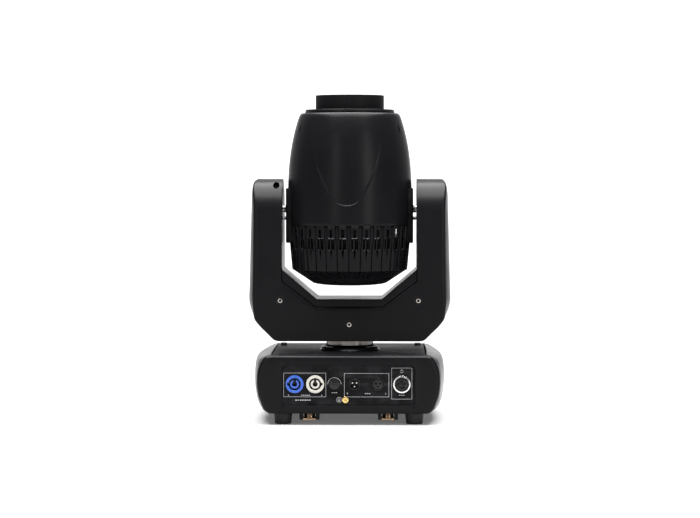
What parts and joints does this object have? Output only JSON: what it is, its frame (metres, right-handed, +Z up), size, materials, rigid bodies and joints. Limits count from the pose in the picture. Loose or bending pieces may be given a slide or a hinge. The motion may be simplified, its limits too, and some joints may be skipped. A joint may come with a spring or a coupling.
{
  "type": "moving head light",
  "caption": "Moving head light: a barrel-shaped head with a vent cage tilts in a U-shaped yoke that pans on a low base with rear sockets.",
  "frame": {"origin": "centre of the four rubber feet, on the surface that the base stands on", "axes": "+Z up along the pan axis, -Y towards the connector side, +Y towards the display side, +X along the tilt axis"},
  "size_m": [0.289, 0.22, 0.4615],
  "materials": {
    "black_plastic": "satin black moulded plastic with a fine texture",
    "black_steel": "matte black paint",
    "frame_steel": "zinc-plated sheet steel",
    "display": "glossy black acrylic",
    "blue_plastic": "blue nylon",
    "white_plastic": "warm white nylon",
    "socket_plastic": "black nylon",
    "zinc": "plated zinc",
    "brass": "plain brass",
    "supply_case": "folded galvanised steel",
    "circuit_board": "green solder mask",
    "bearing_steel": "polished steel",
    "motor": "black enamel",
    "belt_rubber": "toothed rubber belt",
    "rubber": "matte black rubber",
    "button_plastic": "dark grey plastic",
    "aluminium": "machined aluminium",
    "chrome": "bright chrome",
    "lens_glass": "coated optical glass",
    "filter_wheel": "anodised disc with colour filters",
    "led_package": "light source board with reflector"
  },
  "bodies": {
    "base": {"base_bottom_tray": "black_plastic", "base_top_cover": "black_plastic", "base_side_covers": "black_plastic", "rear_bezel": "black_plastic", "front_bezel": "black_plastic", "connector_plate": "black_steel", "display_window": "display", "power_in_socket": "blue_plastic", "power_out_socket": "white_plastic", "fuse_holder": "socket_plastic", "data_in_socket": "socket_plastic", "data_out_socket": "socket_plastic", "aux_socket": "zinc", "earth_terminal": "brass", "power_supply": "supply_case", "control_board": "circuit_board", "pan_frame": "frame_steel", "pan_bearing": "bearing_steel", "pan_motor": "motor", "pan_belt": "belt_rubber", "rubber_feet": "rubber", "bracket_receptacles": "zinc"},
    "fuse_cap": {"fuse_cap": "socket_plastic"},
    "button_menu": {"button_menu": "button_plastic"},
    "button_down": {"button_down": "button_plastic"},
    "button_up": {"button_up": "button_plastic"},
    "button_enter": {"button_enter": "button_plastic"},
    "pan_motor_pulley": {"pan_motor_pulley": "aluminium"},
    "tilt_motor_pulley": {"tilt_motor_pulley": "aluminium"},
    "tilt_lock": {"tilt_lock_pin": "button_plastic"},
    "fan_rotor": {"fan_rotor": "socket_plastic"},
    "colour_wheel": {"colour_wheel": "filter_wheel"},
    "gobo_wheel": {"gobo_wheel": "aluminium"},
    "focus": {"focus_carriage": "aluminium", "focus_lens": "lens_glass"},
    "yoke": {"pan_hub": "aluminium", "neck_ring": "chrome", "pan_pulley": "aluminium", "yoke_frame": "frame_steel", "yoke_rear_cover": "black_plastic", "yoke_front_cover": "black_plastic", "yoke_screws": "bearing_steel", "tilt_motor": "motor", "tilt_belt": "belt_rubber", "tilt_bearings": "bearing_steel"},
    "head": {"head_chassis": "frame_steel", "tilt_side_plates": "black_steel", "tilt_hubs": "aluminium", "tilt_pulley": "aluminium", "head_rear_cover": "black_plastic", "head_front_cover": "black_plastic", "head_top_ring": "black_plastic", "lens_barrel": "black_steel", "front_lens": "lens_glass", "vent_cage": "black_plastic", "head_bottom_cap": "black_plastic", "heat_sink": "aluminium", "led_engine": "led_package", "fan_frame": "socket_plastic", "effect_motors": "motor"}
  },
  "joints": [
    {"name": "pan", "type": "hinge", "parent": "base", "child": "yoke", "pos_m": [0, 0, 0.1], "axis": [0, 0, 1], "range_deg": [-270, 270]},
    {"name": "tilt", "type": "hinge", "parent": "yoke", "child": "head", "pos_m": [0, 0, 0.2936], "axis": [1, 0, 0], "range_deg": [-120, 120]},
    {"name": "pan_motor_turn", "type": "hinge", "parent": "base", "child": "pan_motor_pulley", "pos_m": [-0.075, 0, 0.068], "axis": [0, 0, 1], "range_deg": [-1420, 1420]},
    {"name": "tilt_motor_turn", "type": "hinge", "parent": "yoke", "child": "tilt_motor_pulley", "pos_m": [0.112, 0, 0.15], "axis": [1, 0, 0], "range_deg": [-541, 541]},
    {"name": "tilt_lock_slide", "type": "slide", "parent": "yoke", "child": "tilt_lock", "axis": [0, 0.5878, -0.809], "range_m": [0, 0.004]},
    {"name": "fuse_cap_turn", "type": "hinge", "parent": "base", "child": "fuse_cap", "pos_m": [-0.0195, -0.105, 0.057], "axis": [0, -1, 0], "range_deg": [-90, 0]},
    {"name": "fan_turn", "type": "hinge", "parent": "head", "child": "fan_rotor", "pos_m": [0, 0, 0.2], "axis": [0, 0, 1], "continuous": true},
    {"name": "colour_wheel_turn", "type": "hinge", "parent": "head", "child": "colour_wheel", "pos_m": [0, 0.034, 0.3], "axis": [0, 0, 1], "continuous": true},
    {"name": "gobo_wheel_turn", "type": "hinge", "parent": "head", "child": "gobo_wheel", "pos_m": [0, -0.034, 0.3], "axis": [0, 0, 1], "continuous": true},
    {"name": "focus_slide", "type": "slide", "parent": "head", "child": "focus", "axis": [0, 0, 1], "range_m": [-0.012, 0.03]},
    {"name": "button_menu_press", "type": "slide", "parent": "base", "child": "button_menu", "axis": [0, -1, 0], "range_m": [0, 0.001], "stiffness_N_per_m": 600, "springref_m": -0.001},
    {"name": "button_down_press", "type": "slide", "parent": "base", "child": "button_down", "axis": [0, -1, 0], "range_m": [0, 0.001], "stiffness_N_per_m": 600, "springref_m": -0.001},
    {"name": "button_up_press", "type": "slide", "parent": "base", "child": "button_up", "axis": [0, -1, 0], "range_m": [0, 0.001], "stiffness_N_per_m": 600, "springref_m": -0.001},
    {"name": "button_enter_press", "type": "slide", "parent": "base", "child": "button_enter", "axis": [0, -1, 0], "range_m": [0, 0.001], "stiffness_N_per_m": 600, "springref_m": -0.001}
  ],
  "couplings": [
    {"joint": "pan_motor_turn", "follows": "pan", "ratio": 5.25},
    {"joint": "tilt_motor_turn", "follows": "tilt", "ratio": 4.5}
  ]
}
